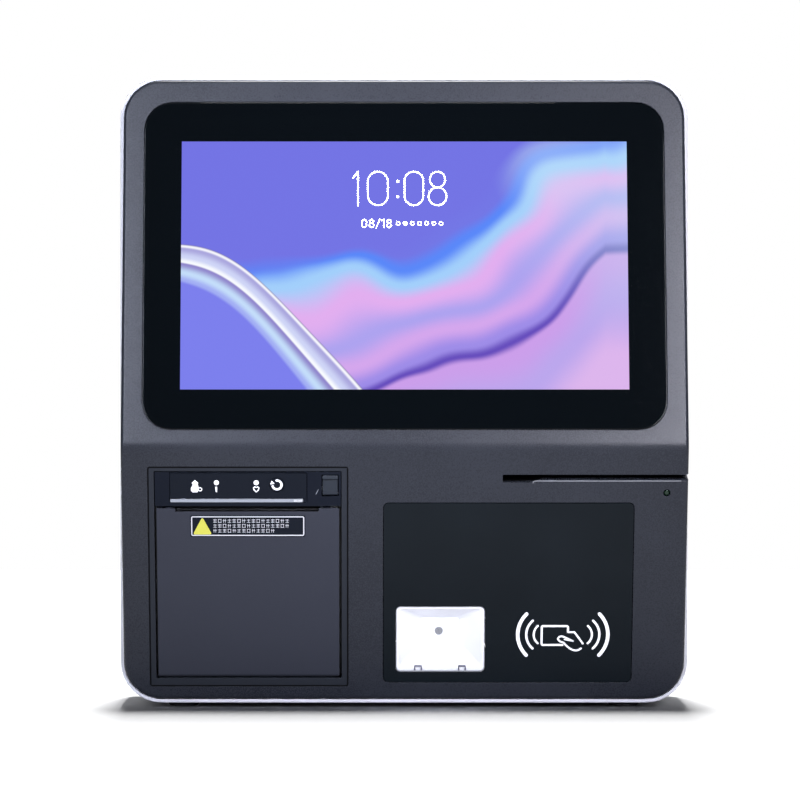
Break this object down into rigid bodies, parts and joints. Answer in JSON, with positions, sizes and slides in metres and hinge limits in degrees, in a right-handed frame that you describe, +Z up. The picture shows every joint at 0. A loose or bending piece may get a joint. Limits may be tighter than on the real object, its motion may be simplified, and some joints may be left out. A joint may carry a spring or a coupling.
{
  "type": "self checkout kiosk",
  "caption": "Counter-top self checkout kiosk: touch screen on a leaning panel above a receipt printer, scanner window and card slot, in a two-part case on rubber feet.",
  "frame": {"origin": "middle of the base, on the surface that the feet stand on", "axes": "+Z up, -Y out of the front, +X to the right as seen from the front"},
  "size_m": [0.328, 0.1066, 0.3645],
  "materials": {
    "dark_case": "fine-textured dark grey moulding",
    "silver_case": "silver-painted moulding",
    "black_glass": "black-bordered gloss glass",
    "black_gloss": "back-printed gloss acrylic",
    "screen": "display module",
    "printer_grey": "satin dark grey moulding",
    "overlay": "printed membrane",
    "black_plastic": "satin black moulding",
    "white_plastic": "white moulding",
    "clear": "clear acrylic",
    "steel": "sheet and turned steel",
    "aluminium": "anodised",
    "rubber": "matt rubber",
    "gear_white": "natural acetal",
    "board_green": "solder-masked board",
    "paper": "thermal paper",
    "card": "wound card tube",
    "led_green": "tinted light pipe",
    "brass": "machined brass"
  },
  "bodies": {
    "case": {"front_cover": "dark_case", "rear_shell": "silver_case", "touch_glass": "black_glass", "lcd_panel": "screen", "lcd_bracket_left": "steel", "lcd_bracket_right": "steel", "chassis_plate": "steel", "main_board": "board_green", "heat_sink": "aluminium", "printer_bezel": "printer_grey", "head_cover": "printer_grey", "keypad_overlay": "overlay", "tear_bar": "aluminium", "latch_pin": "steel", "door_hinge_pin": "steel", "drive_motor": "steel", "print_head": "board_green", "head_heat_sink": "aluminium", "cutter_motor": "steel", "printer_board": "board_green", "printer_bucket": "black_plastic", "reader_window": "black_gloss", "scan_window": "clear", "scan_hood": "white_plastic", "scan_engine": "black_plastic", "scan_lens": "black_gloss", "nfc_antenna": "board_green", "card_channel": "black_plastic", "status_led": "led_green", "io_plate": "steel", "lan_port": "steel", "usb_port_1": "steel", "usb_port_2": "steel", "dc_inlet": "black_plastic", "power_board": "board_green", "vesa_plate": "steel", "speaker_left": "black_plastic", "speaker_right": "black_plastic", "case_screw_1": "steel", "case_screw_2": "steel", "case_screw_3": "steel", "case_screw_4": "steel", "foot_1": "rubber", "foot_2": "rubber", "foot_3": "rubber", "foot_4": "rubber"},
    "door": {"printer_door": "printer_grey", "fixed_blade": "steel"},
    "platen": {"platen_roller": "rubber", "platen_shaft": "steel", "platen_gear": "gear_white"},
    "drive": {"drive_gear": "brass"},
    "roll": {"paper_roll": "paper", "roll_core": "card"},
    "cutter": {"cutter_blade": "steel"},
    "release": {"release_button": "printer_grey"},
    "latch": {"latch_hook": "steel"},
    "feed_key": {"feed_button": "overlay"},
    "power_key": {"power_button": "black_plastic"},
    "read_head": {"card_head": "steel"}
  },
  "joints": [
    {"name": "door_hinge", "type": "hinge", "parent": "case", "child": "door", "pos_m": [-0.0895, -0.02256, 0.02024], "axis": [1, 0, 0], "range_deg": [0, 70]},
    {"name": "platen_spin", "type": "hinge", "parent": "door", "child": "platen", "pos_m": [-0.09, -0.03403, 0.11233], "axis": [1, 0, 0], "continuous": true},
    {"name": "drive_spin", "type": "hinge", "parent": "case", "child": "drive", "pos_m": [-0.0405, -0.02358, 0.11462], "axis": [1, 0, 0], "continuous": true},
    {"name": "roll_spin", "type": "hinge", "parent": "case", "child": "roll", "pos_m": [-0.09, 0.00415, 0.05037], "axis": [1, 0, 0], "continuous": true},
    {"name": "cutter_slide", "type": "slide", "parent": "case", "child": "cutter", "axis": [0, 0.2145, -0.9767], "range_m": [0, 0.004]},
    {"name": "release_press", "type": "slide", "parent": "case", "child": "release", "axis": [0, 0.9767, 0.2145], "range_m": [0, 0.003], "stiffness_N_per_m": 300, "springref_m": -0.001},
    {"name": "latch_turn", "type": "hinge", "parent": "case", "child": "latch", "pos_m": [-0.0474, -0.02022, 0.12406], "axis": [-1, 0, 0], "range_deg": [0, 16]},
    {"name": "feed_press", "type": "slide", "parent": "case", "child": "feed_key", "axis": [0, 0.9767, 0.2145], "range_m": [0, 0.0008], "stiffness_N_per_m": 500, "springref_m": -0.0005},
    {"name": "power_press", "type": "slide", "parent": "case", "child": "power_key", "axis": [0, -1, 0], "range_m": [0, 0.0015], "stiffness_N_per_m": 500, "springref_m": -0.0005},
    {"name": "head_float", "type": "slide", "parent": "case", "child": "read_head", "axis": [0, 0.2145, -0.9767], "range_m": [0, 0.0008], "stiffness_N_per_m": 500, "springref_m": -0.0005}
  ],
  "couplings": [
    {"joint": "drive_spin", "follows": "platen_spin", "ratio": -1.3333},
    {"joint": "latch_turn", "follows": "release_press", "rad_per_m": 90}
  ]
}
